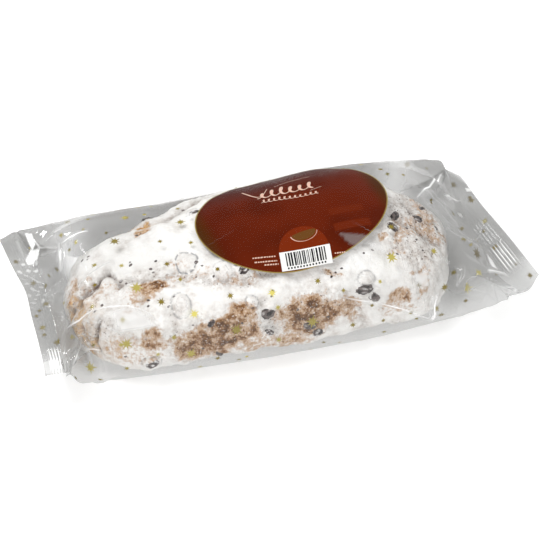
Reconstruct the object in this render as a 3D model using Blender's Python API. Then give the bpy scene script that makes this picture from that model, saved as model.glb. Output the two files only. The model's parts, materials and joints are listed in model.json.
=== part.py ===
# A stollen in its sealed gusset bag, as one closed solid: +X along the loaf, +Y away from the
# front, +Z up, origin under the middle of the flat underside. Metres.
#
# The bag is a stack of loops along X. Each loop runs over the top panel from front to back, down
# the back side panel, under the bottom panel to the front, and up the front side panel. On the
# loaf a loop is a rounded section; at each end it flattens into the crimped seal.
from math import pi

import bmesh
import bpy
import numpy as np

# ---- the stretch where the film lies on the loaf ----
SHOULDER = 0.108
STATION_X = (-0.108, -0.055, 0.0, 0.055, 0.108)
HEIGHTS = (0.0660, 0.0670, 0.0705, 0.0760, 0.0712)
HALF_WIDTHS = (0.0618, 0.0657, 0.0684, 0.0694, 0.0660)
CROWN_POWERS = (3.7, 2.4, 2.15, 2.1, 2.5)   # the section's upper half is boxier at the ends
BELLY_POWER = 4.5
EQUATOR = 0.027           # height at which a section is widest
REST_FLAT = 0.0008        # the loaf's weight flattens this much of the belly
UPPER_EDGE = 0.026        # along the section from the widest point up to the gusset's edge
LOWER_EDGE = 0.016        # and down to its other edge

# ---- crimped seals, each outer edge given by its front corner, middle and back corner ----
LEFT_SEAL = ((-0.1450, -0.0600, 0.0300), (-0.1465, 0.0000, 0.0300), (-0.1560, 0.0580, 0.0400))
RIGHT_SEAL = ((0.1690, -0.0600, 0.0365), (0.1650, -0.0030, 0.0335), (0.1610, 0.0530, 0.0300))
LEFT_RISE = (0.0, 0.0)    # the outer edge above the inner edge: along the front, at the back corner
RIGHT_RISE = (0.0115, -0.0090)
SEAL_WIDTH = 0.0120
SEAL_THICK = 0.0014
SEAL_ROUND = 0.0005
RIBS = 5
RIB_DEPTH = 0.0011

# ---- folds of the end panels ----
# the gusset's upper edge: rise, place between shoulder and seal, reach
LEFT_EAR = (-0.0015, 0.55, 0.47)
RIGHT_EAR = (0.0030, 0.75, 0.50)
EAR_SPREAD = 0.0030
EAR_OUT = 0.0050
LOW_FOLD = 0.0050         # the gusset's lower edge stands out beside the loaf's end
TUCK_DEPTH = 0.0220       # the side panels fold inwards
EDGE_REACH = 0.12         # how far a fold reaches over the top panel, as a share of it
# pleats: place across the top panel at the shoulder and at the seal, height, half width
LEFT_PLEATS = ((0.30, 0.20, 0.0035, 0.075), (0.52, 0.60, -0.0030, 0.085), (0.80, 0.82, 0.0040, 0.075))
RIGHT_PLEATS = ((0.18, 0.28, 0.0035, 0.075), (0.50, 0.42, -0.0030, 0.085), (0.74, 0.68, 0.0035, 0.075))

# ---- steps of the mesh ----
TOP_STEPS = 20
SIDE_STEPS = 6
BODY_ROWS = 30
END_ROWS = 10
SHOULDER_EASE = 4         # rounds of smoothing over the shoulders


def eased(t):
    t = np.clip(t, 0.0, 1.0)
    return t * t * (3 - 2 * t)


def along(x, values):
    """A value at x, eased between the stations."""
    i = int(np.clip(np.searchsorted(STATION_X, x) - 1, 0, len(STATION_X) - 2))
    t = eased((x - STATION_X[i]) / (STATION_X[i + 1] - STATION_X[i]))
    return values[i] + (values[i + 1] - values[i]) * t


def run_along(curve):
    return np.r_[0, np.cumsum(np.linalg.norm(np.diff(curve, axis=0), axis=1))]


def spaced(curve, start, end, steps):
    """Evenly spaced points on a polyline, `start` from its beginning to `end` before its end."""
    run = run_along(curve)
    at = np.linspace(start, run[-1] - end, steps + 1)[:-1]
    return np.stack([np.interp(at, run, curve[:, axis]) for axis in range(3)], 1)


def body_section(x, tops, sides):
    """The loop at x, where the film lies on the loaf."""
    width = along(x, HALF_WIDTHS)
    crown = along(x, HEIGHTS) - EQUATOR
    across = np.cos(np.linspace(pi, 0, 721))
    up = np.sqrt(1 - abs(across) ** along(x, CROWN_POWERS))
    down = np.sqrt(1 - abs(across) ** BELLY_POWER)
    belly = np.maximum(EQUATOR * (1 - down) - REST_FLAT, 0)
    belly += REST_FLAT * abs(across) ** (2 * BELLY_POWER)
    here = np.full(len(across), x)
    top = np.stack([here, width * across, EQUATOR + crown * up], 1)
    bottom = np.stack([here, width * across, belly], 1)[::-1]
    half = len(across) // 2
    back = np.concatenate([top[half:], bottom[1:half + 1]])
    front = np.concatenate([bottom[half:], top[1:half + 1]])
    over = run_along(top[half:])[-1] - UPPER_EDGE
    under = run_along(bottom[half:])[-1] - LOWER_EDGE
    return np.concatenate([
        spaced(top, UPPER_EDGE, UPPER_EDGE, tops),
        spaced(back, over, under, sides),
        spaced(bottom, LOWER_EDGE, LOWER_EDGE, tops),
        spaced(front, under, over, sides),
    ])


def seal_loop(corners, inset, rib, drop, tops, sides):
    """The loop flattened onto a seal, `inset` along X from its outer edge and dropped below it."""
    front, middle, back = np.array(corners)
    pull = 2 * middle - (front + back) / 2
    t = np.linspace(0, 1, tops + 1)[:, None]
    line = front * (1 - t) ** 2 + 2 * pull * t * (1 - t) + back * t ** 2
    line = line + np.array([inset, 0, rib])
    line[:, 2] -= drop[0] + (drop[1] - drop[0]) * eased(t[:, 0] * 2.2 - 1.2)
    half = np.array([0, 0, SEAL_THICK / 2])
    s = np.arange(sides) / sides
    side = np.stack([0 * s, SEAL_ROUND * np.sin(pi * s), SEAL_THICK * (0.5 - s)], 1)
    return np.concatenate([line[:-1] + half, line[-1] + side, line[:0:-1] - half, line[0] - side])


def seal_rows(corners, inward, rise, tops, sides):
    """Loops across a crimped seal, the inner edge first, with the ribs as a zigzag."""
    rows = []
    for i in range(2 * RIBS + 1):
        k = i / (2 * RIBS)
        rib = RIB_DEPTH / 2 * (-1) ** i if 0 < i < 2 * RIBS else 0
        drop = np.multiply(rise, 1 - k)
        rows.append(seal_loop(corners, inward * SEAL_WIDTH * (1 - k), rib, drop, tops, sides))
    return rows


def end_rows(section, inner, inward, ear, pleats, rows, tops, sides):
    """Loops from the loaf's shoulder out to the inner edge of the seal, with the folds."""
    loop = np.arange(len(section))
    across = loop / tops
    ahead = np.minimum(loop, len(section) - loop) / tops
    back_edge = np.exp(-((across - 1) / EDGE_REACH) ** 2)
    front_edge = np.exp(-(ahead / EDGE_REACH) ** 2)
    foot = np.exp(-((loop - len(section) + sides) / tops / EDGE_REACH) ** 2)
    back_tuck = np.maximum(0, 1 - abs(2 * (loop - tops) / sides - 1))
    front_tuck = np.maximum(0, 1 - abs(2 * (len(section) - loop) / sides - 1))
    rise, place, reach = ear
    out = []
    for k in np.linspace(0, 1, rows + 1)[1:-1]:
        row = section * (1 - k) + inner * k
        swell = np.exp(-((k - place) / reach) ** 2) * eased(k * 4) * eased((1 - k) * 8)
        row[:, 0] -= inward * EAR_OUT * swell * back_edge
        row[:, 1] += EAR_SPREAD * swell * (back_edge - front_edge / 2)
        row[:, 2] += rise * swell * (back_edge + front_edge / 2)
        low = LOW_FOLD * np.sin(pi * k) ** 2 * foot
        row += low[:, None] * np.array([-inward * 0.8, -0.7, -0.2])
        row[:, 1] += TUCK_DEPTH * np.sin(pi * k ** 1.4) * (front_tuck - back_tuck)
        for at_shoulder, at_seal, height, half in pleats:
            off = abs(across - (at_shoulder + (at_seal - at_shoulder) * k)) / half
            ridge = height * np.maximum(0, 1 - off) * np.sin(pi * k ** 0.8) * (across <= 1)
            row[:, 2] += ridge
            row[:, 0] -= inward * ridge / 2
        out.append(row)
    return out


def bag_end(side, corners, rise, ear, pleats, tops, sides, rows):
    """The loops beyond one shoulder, from the loaf outwards; side is -1 left, 1 right."""
    crimp = seal_rows(corners, -side, rise, tops, sides)
    section = body_section(side * SHOULDER, tops, sides)
    return end_rows(section, crimp[0], -side, ear, pleats, rows, tops, sides) + crimp


def bag_rows(tops, sides, body, ends):
    """All loops of the bag, from the left seal's outer edge to the right one's."""
    left = bag_end(-1, LEFT_SEAL, LEFT_RISE, LEFT_EAR, LEFT_PLEATS, tops, sides, ends)
    right = bag_end(1, RIGHT_SEAL, RIGHT_RISE, RIGHT_EAR, RIGHT_PLEATS, tops, sides, ends)
    middle = [body_section(x, tops, sides) for x in np.linspace(-SHOULDER, SHOULDER, body + 1)]
    rows = np.array(left[::-1] + middle + right)
    first = len(left)
    last = first + body
    for _ in range(SHOULDER_EASE):
        softer = (rows[:-2] + 2 * rows[1:-1] + rows[2:]) / 4
        for at in (first, last):
            near = slice(at - 3, at + 4)
            rows[near] = softer[at - 4:at + 3]
    rows[:, :, 2] = np.maximum(rows[:, :, 2], 0)
    return rows


def clear_scene():
    for thing in list(bpy.data.objects):
        bpy.data.objects.remove(thing, do_unlink=True)


def plain_material(name, colour, roughness):
    material = bpy.data.materials.new(name)
    material.use_nodes = True
    shader = material.node_tree.nodes["Principled BSDF"]
    shader.inputs["Base Color"].default_value = (*colour, 1.0)
    shader.inputs["Roughness"].default_value = roughness
    return material


def close_end(shape, ring, tops, sides):
    """Closes a cut edge: strips between its two films, and its two rounded sides."""
    around = len(ring)
    for i in range(tops):
        shape.faces.new([ring[i], ring[i + 1], ring[around - sides - 1 - i], ring[(around - sides - i)]])
    shape.faces.new(ring[tops:tops + sides + 1])
    shape.faces.new(ring[around - sides:] + ring[:1])


def make_bag():
    rows = bag_rows(TOP_STEPS, SIDE_STEPS, BODY_ROWS, END_ROWS)
    middle = (rows.max((0, 1)) + rows.min((0, 1))) / 2
    rows = rows - np.array([middle[0], middle[1], 0])
    shape = bmesh.new()
    rings = [[shape.verts.new(point) for point in row] for row in rows.tolist()]
    for ring, after in zip(rings[:-1], rings[1:]):
        for i in range(len(ring)):
            j = (i + 1) % len(ring)
            shape.faces.new([ring[i], ring[j], after[j], after[i]])
    close_end(shape, rings[0], TOP_STEPS, SIDE_STEPS)
    close_end(shape, rings[-1], TOP_STEPS, SIDE_STEPS)
    bmesh.ops.triangulate(shape, faces=shape.faces[:])
    bmesh.ops.recalc_face_normals(shape, faces=shape.faces[:])
    mesh = bpy.data.meshes.new("stollen_bag")
    shape.to_mesh(mesh)
    shape.free()
    bag = bpy.data.objects.new("stollen_bag", mesh)
    bpy.context.scene.collection.objects.link(bag)
    bag.data.materials.append(plain_material("clear_film", (0.80, 0.78, 0.76), 0.2))
    return bag


clear_scene()
make_bag()
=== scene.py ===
import json
from math import cos, hypot, pi, radians, sin

import bpy
import numpy as np
from mathutils import Matrix, Vector
from mathutils.bvhtree import BVHTree

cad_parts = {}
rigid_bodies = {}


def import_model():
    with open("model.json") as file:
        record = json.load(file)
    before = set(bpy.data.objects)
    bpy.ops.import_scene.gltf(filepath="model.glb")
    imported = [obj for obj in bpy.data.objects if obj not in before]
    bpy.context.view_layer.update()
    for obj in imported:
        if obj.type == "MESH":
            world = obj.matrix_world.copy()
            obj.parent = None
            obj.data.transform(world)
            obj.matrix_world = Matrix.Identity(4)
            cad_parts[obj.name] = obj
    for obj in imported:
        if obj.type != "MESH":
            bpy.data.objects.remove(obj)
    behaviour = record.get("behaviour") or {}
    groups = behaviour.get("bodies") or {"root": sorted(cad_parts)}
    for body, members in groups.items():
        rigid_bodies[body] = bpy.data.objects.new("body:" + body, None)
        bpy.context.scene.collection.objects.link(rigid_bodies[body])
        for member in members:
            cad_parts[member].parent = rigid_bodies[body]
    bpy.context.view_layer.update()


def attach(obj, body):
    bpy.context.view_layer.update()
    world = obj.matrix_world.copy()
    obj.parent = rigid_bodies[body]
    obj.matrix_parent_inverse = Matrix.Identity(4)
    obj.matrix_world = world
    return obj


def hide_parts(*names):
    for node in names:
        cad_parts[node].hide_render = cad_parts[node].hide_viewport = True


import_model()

MM = 0.001


# ======================================================================================
# Small helpers
# ======================================================================================
def ink(code):
    """A colour from its sRGB hex value, as the linear numbers that the shaders take."""
    parts = [int(code[i:i + 2], 16) / 255 for i in (1, 3, 5)]
    linear = [c / 12.92 if c <= 0.04045 else ((c + 0.055) / 1.055) ** 2.4 for c in parts]
    return (*linear, 1.0)


def eased(t):
    t = np.clip(t, 0.0, 1.0)
    return t * t * (3 - 2 * t)


def deselect():
    for thing in bpy.context.view_layer.objects:
        thing.select_set(False)


def take(thing):
    """Makes one object the active one, alone in the selection."""
    deselect()
    thing.select_set(True)
    bpy.context.view_layer.objects.active = thing
    return thing


def rename(thing, name):
    thing.name = name
    thing.data.name = name
    return thing


def apply_modifier(thing, kind, **settings):
    take(thing)
    modifier = thing.modifiers.new(kind.lower(), kind)
    for name, value in settings.items():
        setattr(modifier, name, value)
    bpy.ops.object.modifier_apply(modifier=modifier.name)


def points_of(piece):
    flat = np.empty(len(piece.data.vertices) * 3, np.float32)
    piece.data.vertices.foreach_get("co", flat)
    return flat.reshape(-1, 3).astype(float)


def normals_of(piece):
    flat = np.empty(len(piece.data.vertices) * 3, np.float32)
    piece.data.vertices.foreach_get("normal", flat)
    return flat.reshape(-1, 3).astype(float)


def move_points(piece, points):
    piece.data.vertices.foreach_set("co", np.asarray(points, np.float32).ravel())
    piece.data.update()


def faces_of(piece):
    return [tuple(face.vertices) for face in piece.data.polygons]


def mesh_piece(name, points, faces, material):
    """A smooth piece from its points and faces."""
    mesh = bpy.data.meshes.new(name)
    mesh.from_pydata([tuple(p) for p in np.asarray(points, float)], [], [tuple(map(int, f)) for f in faces])
    mesh.update()
    mesh.shade_smooth()
    piece = bpy.data.objects.new(name, mesh)
    bpy.context.scene.collection.objects.link(piece)
    piece.data.materials.append(material)
    return piece


def paint(piece, name, values):
    """Stores one number a point, which a material reads by name."""
    attribute = piece.data.attributes.new(name, "FLOAT", "POINT")
    attribute.data.foreach_set("value", np.asarray(values, np.float32).ravel())


def ripple(points, size, seed, waves=9):
    """Smooth noise of about -1 to 1 whose bumps are `size` across, as a sum of sines."""
    rng = np.random.default_rng(seed)
    points = np.asarray(points)
    way = rng.normal(size=(waves, points.shape[-1]))
    way *= (2 * pi / size * rng.uniform(0.6, 1.4, waves) / np.linalg.norm(way, axis=1))[:, None]
    phase = rng.uniform(0, 2 * pi, waves)
    return np.sin(points @ way.T + phase).sum(-1) / np.sqrt(waves)


def tree_of(piece):
    return BVHTree.FromPolygons([tuple(p) for p in points_of(piece)], faces_of(piece))


# ======================================================================================
# Materials
# ======================================================================================
def new_material(name):
    material = bpy.data.materials.new(name)
    material.use_nodes = True
    material.node_tree.nodes.clear()
    return material


def add(tree, kind, links=None, **settings):
    """Adds a node: settings are its own properties, links its inputs, as values or sockets."""
    made = tree.nodes.new(kind)
    for name, value in settings.items():
        setattr(made, name, value)
    for place, value in (links or {}).items():
        socket = made.inputs[place]
        if isinstance(value, bpy.types.NodeSocket):
            tree.links.new(value, socket)
        else:
            socket.default_value = value
    return made


def blend(tree, share, low, high):
    """A colour between two others."""
    return add(tree, "ShaderNodeMix", {0: share, 6: low, 7: high}, data_type="RGBA").outputs[2]


def sum_of(tree, a, b, c=0.0, operation="MULTIPLY_ADD", clamp=False):
    return add(tree, "ShaderNodeMath", {0: a, 1: b, 2: c}, operation=operation, use_clamp=clamp).outputs[0]


def step_up(tree, value, low, high, to_low=0.0, to_high=1.0):
    """A smooth step of a value from low to high."""
    return add(tree, "ShaderNodeMapRange", {0: value, 1: low, 2: high, 3: to_low, 4: to_high},
               interpolation_type="SMOOTHSTEP").outputs[0]


def grains(tree, place, millimetres, detail=3.0, roughness=0.6):
    """Noise whose features are about so many millimetres across."""
    return add(tree, "ShaderNodeTexNoise", {"Vector": place, "Scale": 1 / (millimetres * MM), "Detail": detail,
                                            "Roughness": roughness}).outputs["Fac"]


def spread(tree, value, gain):
    """The same noise with more contrast about its middle."""
    return sum_of(tree, value, gain, 0.5 - gain / 2, clamp=True)


def painted(tree, name):
    return add(tree, "ShaderNodeAttribute", attribute_name=name).outputs["Fac"]


def polypropylene_film():
    """Clear cast film: nearly unseen where it lies on the sugar, a smooth neutral grey where it stands free,
    lighter grey at grazing angles as a painted reflection, painted highlights on the facets listed as sheens,
    and white along its sharp folds and seal ribs, partly stress whitening and partly a painted highlight."""
    material = new_material("polypropylene_film")
    tree = material.node_tree
    veil, sheen = painted(tree, "veil"), painted(tree, "sheen")
    facing = add(tree, "ShaderNodeLayerWeight", {"Blend": 0.5}).outputs["Facing"]
    grazing = sum_of(tree, facing, 4.0, operation="POWER")
    side = add(tree, "ShaderNodeMath", {0: painted(tree, "fold_side")}, operation="ABSOLUTE").outputs[0]
    line = step_up(tree, side, 0.9, 0.1)
    # White painted along the fold lines and on the sheen facets: painted highlights, partly stress whitening along the
    # folds.
    white = sum_of(tree, line, painted(tree, "fold_whitening_and_glint"), operation="MULTIPLY")
    white = sum_of(tree, sheen, 1.0, white, clamp=True)
    share = sum_of(tree, grazing, 0.34, veil)
    share = sum_of(tree, white, 0.75, share, clamp=True)
    # Lighter grey at grazing angles: a painted reflection.
    grey = blend(tree, grazing, ink("#949492"), ink("#c2c2c0"))
    colour = blend(tree, white, grey, ink("#ffffff"))
    # A faint glow on the white parts: a painted highlight, though the film is no lamp.
    glow = sum_of(tree, white, 0.10, operation="MULTIPLY")
    clear = add(tree, "ShaderNodeBsdfTransparent", {"Color": ink("#fdfdfd")}).outputs[0]
    gloss = add(tree, "ShaderNodeBsdfPrincipled",
                {"Base Color": colour, "Roughness": 0.12, "IOR": 1.9, "Emission Color": ink("#ffffff"),
                 "Emission Strength": glow}).outputs[0]
    both = add(tree, "ShaderNodeMixShader", {0: share, 1: clear, 2: gloss}).outputs[0]
    add(tree, "ShaderNodeOutputMaterial", {"Surface": both})
    return material


def sugared_crust():
    """A buttered crust under powdered sugar: dull chalk white, greyish pink where the sugar has taken up
    butter, beige to orange brown with white and dark specks where it has rubbed off; with painted shade as
    dark lines in the creases and grey lines in the dents round the raisins."""
    material = new_material("sugared_crust")
    tree = material.node_tree
    place = add(tree, "ShaderNodeTexCoord").outputs["Object"]
    bare, thin, toast = painted(tree, "bare"), painted(tree, "thin"), painted(tree, "toast")
    groove_shade, ring, rim = painted(tree, "groove_shade"), painted(tree, "ring"), painted(tree, "rim")
    dust = spread(tree, grains(tree, place, 0.8, 2.0), 2.8)
    curd = spread(tree, grains(tree, place, 1.3, 2.0), 2.8)
    fleck = spread(tree, grains(tree, place, 2.3), 2.8)
    blotch = spread(tree, grains(tree, place, 6.0), 2.8)

    grain = sum_of(tree, fleck, 0.50, sum_of(tree, dust, 0.14, -0.32))
    rubbed = sum_of(tree, bare, sum_of(tree, blotch, 0.85, 0.52), grain)
    cloud = spread(tree, grains(tree, place, 4.0, 2.0), 2.8)
    haze = sum_of(tree, cloud, 0.75, sum_of(tree, fleck, 0.45, -0.10))
    haze = sum_of(tree, haze, thin, operation="MULTIPLY", clamp=True)
    sugar = blend(tree, haze, ink("#f4f3f1"), blend(tree, toast, ink("#b7aca4"), ink("#cfae8c")))
    colour = blend(tree, step_up(tree, rubbed, 0.24, 0.52), sugar, ink("#cfbcae"))
    pale = blend(tree, toast, ink("#c1a488"), ink("#deb987"))
    brown = blend(tree, toast, ink("#8b6340"), ink("#c28b48"))
    deep = blend(tree, toast, ink("#5f422d"), ink("#855025"))
    colour = blend(tree, step_up(tree, rubbed, 0.45, 0.72), colour, pale)
    colour = blend(tree, step_up(tree, rubbed, 0.72, 1.02), colour, brown)
    colour = blend(tree, step_up(tree, rubbed, 1.00, 1.28), colour, deep)

    crumb = sum_of(tree, step_up(tree, curd, 0.78, 0.96), 0.6, operation="MULTIPLY")
    colour = blend(tree, crumb, colour, ink("#efeae4"))
    worn = sum_of(tree, step_up(tree, rubbed, 0.35, 0.7), step_up(tree, thin, 0.45, 1.0), operation="MAXIMUM")
    pit = sum_of(tree, step_up(tree, curd, 0.16, 0.03), worn, operation="MULTIPLY")
    colour = blend(tree, pit, colour, ink("#6a574c"))
    # Dark brown painted along the creases: painted shade.
    painted_crease_shade = sum_of(tree, groove_shade, step_up(tree, fleck, -0.15, 0.45), operation="MULTIPLY", clamp=True)
    colour = blend(tree, painted_crease_shade, colour, ink("#55453e"))
    # A grey line painted in the dent round each raisin: painted shade.
    away = add(tree, "ShaderNodeMath", {0: ring}, operation="ABSOLUTE").outputs[0]
    outline = sum_of(tree, step_up(tree, away, 1.1, 0.0), step_up(tree, fleck, 0.20, 0.60), operation="MULTIPLY")
    outline = sum_of(tree, outline, rim, operation="MULTIPLY")
    colour = blend(tree, outline, colour, ink("#7d7f83"))

    height = sum_of(tree, dust, 0.30, sum_of(tree, curd, 0.5, fleck))
    relief = add(tree, "ShaderNodeBump", {"Height": height, "Strength": 0.4, "Distance": 0.0006}).outputs[0]
    shader = add(tree, "ShaderNodeBsdfPrincipled",
                 {"Base Color": colour, "Roughness": 0.9, "Specular IOR Level": 0.2, "Normal": relief}).outputs[0]
    add(tree, "ShaderNodeOutputMaterial", {"Surface": shader})
    return material


def dried_raisin():
    """Raisin skin: near black down in its wrinkles, partly the dark skin and partly painted shade, dusted to a light
    grey on the crests between them.
    """
    material = new_material("dried_raisin")
    tree = material.node_tree
    place = add(tree, "ShaderNodeTexCoord").outputs["Object"]
    crest = sum_of(tree, grains(tree, place, 1.1), 0.5, sum_of(tree, painted(tree, "crest"), 1.0, -0.25))
    # Darkest in the wrinkles: painted shade over the dark skin.
    colour = blend(tree, step_up(tree, crest, 0.20, 0.55), ink("#262122"), ink("#665b58"))
    colour = blend(tree, step_up(tree, crest, 0.58, 0.95), colour, ink("#dcdcdb"))
    shader = add(tree, "ShaderNodeBsdfPrincipled", {"Base Color": colour, "Roughness": 0.5}).outputs[0]
    add(tree, "ShaderNodeOutputMaterial", {"Surface": shader})
    return material


def printed_ink(name, code):
    """Flat reverse print under the film, matt: the film above it gives the gloss."""
    material = new_material(name)
    tree = material.node_tree
    shader = add(tree, "ShaderNodeBsdfPrincipled",
                 {"Base Color": ink(code), "Roughness": 0.6, "Specular IOR Level": 0.0}).outputs[0]
    add(tree, "ShaderNodeOutputMaterial", {"Surface": shader})
    return material


def star_gold():
    """Old-gold ink, laid down dark on some stars and pale on others."""
    material = new_material("star_gold_ink")
    tree = material.node_tree
    colour = blend(tree, painted(tree, "pale"), ink("#7d6c2b"), ink("#d8cc70"))
    shader = add(tree, "ShaderNodeBsdfPrincipled",
                 {"Base Color": colour, "Roughness": 0.6, "Specular IOR Level": 0.0}).outputs[0]
    add(tree, "ShaderNodeOutputMaterial", {"Surface": shader})
    return material


def oval_ink():
    """Oxblood ink in faint clouds, bronze at the oval's tips, darker and purplish towards the back edge, where the film
    curves away: painted shade.
    """
    material = new_material("oxblood_ink")
    tree = material.node_tree
    across = add(tree, "ShaderNodeSeparateXYZ", {0: add(tree, "ShaderNodeUVMap", uv_map="flat").outputs[0]})
    place = add(tree, "ShaderNodeTexCoord").outputs["Object"]
    x, y = across.outputs[0], across.outputs[1]
    tip = add(tree, "ShaderNodeMath", {0: x}, operation="ABSOLUTE").outputs[0]
    cloud = grains(tree, place, 30.0, 1.0)
    red = blend(tree, step_up(tree, cloud, 0.35, 0.65), ink("#541b0b"), ink("#60200d"))
    # Darker and purplish towards the back edge: painted shade.
    red = blend(tree, step_up(tree, y, 0.30, 0.95), red, ink("#482522"))
    red = blend(tree, step_up(tree, tip, 0.80, 1.0), red, ink("#48280b"))
    shader = add(tree, "ShaderNodeBsdfPrincipled",
                 {"Base Color": red, "Roughness": 0.6, "Specular IOR Level": 0.0}).outputs[0]
    add(tree, "ShaderNodeOutputMaterial", {"Surface": shader})
    return material


# ======================================================================================
# The bag's shape, from the same sizes as its solid
# ======================================================================================
SHOULDER = 0.108
STATION_X = (-0.108, -0.055, 0.0, 0.055, 0.108)
HEIGHTS = (0.0660, 0.0670, 0.0705, 0.0760, 0.0712)
HALF_WIDTHS = (0.0618, 0.0657, 0.0684, 0.0694, 0.0660)
CROWN_POWERS = (3.7, 2.4, 2.15, 2.1, 2.5)
BELLY_POWER = 4.5
EQUATOR = 0.027
REST_FLAT = 0.0008
UPPER_EDGE = 0.026
LOWER_EDGE = 0.016
LEFT_SEAL = ((-0.1450, -0.0600, 0.0300), (-0.1465, 0.0000, 0.0300), (-0.1560, 0.0580, 0.0400))
RIGHT_SEAL = ((0.1690, -0.0600, 0.0365), (0.1650, -0.0030, 0.0335), (0.1610, 0.0530, 0.0300))
LEFT_RISE = (0.0, 0.0)
RIGHT_RISE = (0.0115, -0.0090)
SEAL_WIDTH = 0.0120
SEAL_THICK = 0.0006
SEAL_ROUND = 0.0002
RIBS = 5
RIB_BAND = 0.72           # the ribs fill this share of the seal, from its inner edge
RIB_DEPTH = 0.0010
LEFT_EAR = (-0.0015, 0.55, 0.47)
RIGHT_EAR = (0.0030, 0.75, 0.50)
EAR_SPREAD = 0.0030
EAR_OUT = 0.0050
RIGHT_EAR_OUT = 0.0030
# Where the film is pushed out of line: the row (negative from the right end) and its reach, the y and
# its spread in mm, and the push in mm.
PUSHES = (
    (8, 48, 14, 15, (2.0, 0, 0)),
    (34, 22, 58, 9, (0, 2.5, 2.5)),
    (-26, 18, -61, 9, (1.2, -2.5, -2.5)),
    (-62, 12, -60, 14, (0, 1.2, 0.8)),
    (-8, 48, 18, 26, (-1.2, 0, 0)),
)
LOW_FOLD = 0.0050
TUCK_DEPTH = 0.0220
EDGE_REACH = 0.12
LEFT_PLEATS = ((0.30, 0.20, 0.0035, 0.075), (0.52, 0.60, -0.0030, 0.085), (0.80, 0.82, 0.0040, 0.075))
RIGHT_PLEATS = ((0.18, 0.28, 0.0035, 0.075), (0.50, 0.42, -0.0030, 0.085), (0.74, 0.68, 0.0035, 0.075))
MIDDLE = 0.0065           # the frame's origin stands this far along the sizes above

TOPS = 112
SIDES = 30
BODY_ROWS = 120
END_ROWS = 46
RIB_ROWS = 4
SHOULDER_ROUNDS = 70
SHOULDER_REACH = 18


def along(x, values):
    """A value at x, eased between the stations."""
    i = int(np.clip(np.searchsorted(STATION_X, x) - 1, 0, len(STATION_X) - 2))
    t = eased((x - STATION_X[i]) / (STATION_X[i + 1] - STATION_X[i]))
    return values[i] + (values[i + 1] - values[i]) * t


def run_along(curve):
    return np.r_[0, np.cumsum(np.linalg.norm(np.diff(curve, axis=0), axis=1))]


def spaced(curve, start, end, steps):
    """Evenly spaced points on a polyline, `start` from its beginning to `end` before its end."""
    run = run_along(curve)
    at = np.linspace(start, run[-1] - end, steps + 1)[:-1]
    return np.stack([np.interp(at, run, curve[:, axis]) for axis in range(3)], 1)


def body_section(x):
    """The loop at x, where the film lies on the loaf: over the top to the back, and back under."""
    width = along(x, HALF_WIDTHS)
    crown = along(x, HEIGHTS) - EQUATOR
    across = np.cos(np.linspace(pi, 0, 721))
    up = np.sqrt(1 - abs(across) ** along(x, CROWN_POWERS))
    down = np.sqrt(1 - abs(across) ** BELLY_POWER)
    belly = np.maximum(EQUATOR * (1 - down) - REST_FLAT, 0)
    belly += REST_FLAT * abs(across) ** (2 * BELLY_POWER)
    here = np.full(len(across), x)
    top = np.stack([here, width * across, EQUATOR + crown * up], 1)
    bottom = np.stack([here, width * across, belly], 1)[::-1]
    half = len(across) // 2
    back = np.concatenate([top[half:], bottom[1:half + 1]])
    front = np.concatenate([bottom[half:], top[1:half + 1]])
    over = run_along(top[half:])[-1] - UPPER_EDGE
    under = run_along(bottom[half:])[-1] - LOWER_EDGE
    return np.concatenate([
        spaced(top, UPPER_EDGE, UPPER_EDGE, TOPS),
        spaced(back, over, under, SIDES),
        spaced(bottom, LOWER_EDGE, LOWER_EDGE, TOPS),
        spaced(front, under, over, SIDES),
    ])


def seal_loop(corners, inset, rib, drop):
    """The loop flattened onto a seal, `inset` along X from its outer edge and dropped below it."""
    front, middle, back = np.array(corners)
    pull = 2 * middle - (front + back) / 2
    t = np.linspace(0, 1, TOPS + 1)[:, None]
    line = front * (1 - t) ** 2 + 2 * pull * t * (1 - t) + back * t ** 2
    line = line + np.array([inset, 0, 0])
    line[:, 2] -= drop[0] + (drop[1] - drop[0]) * eased(t[:, 0] * 2.2 - 1.2)
    half = np.array([0, 0, SEAL_THICK / 2])
    s = np.arange(SIDES) / SIDES
    side = np.stack([0 * s, SEAL_ROUND * np.sin(pi * s), SEAL_THICK * (0.5 - s)], 1)
    loop = np.concatenate([line[:-1] + half, line[-1] + side, line[:0:-1] - half, line[0] - side])
    loop[:, 2] += rib
    return loop


def seal_rows(corners, inward, rise, crisp):
    """Loops across a crimped seal, the inner edge first; its ribs are crisp in places."""
    rows = []
    count = 2 * RIBS * RIB_ROWS
    for i in range(count + 1):
        k = i / count
        rib = RIB_DEPTH / 2 * cos(2 * pi * RIBS * k / RIB_BAND) * (0 < k < RIB_BAND) * crisp
        rows.append(seal_loop(corners, inward * SEAL_WIDTH * (1 - k), rib, np.multiply(rise, 1 - k)))
    return rows


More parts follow.
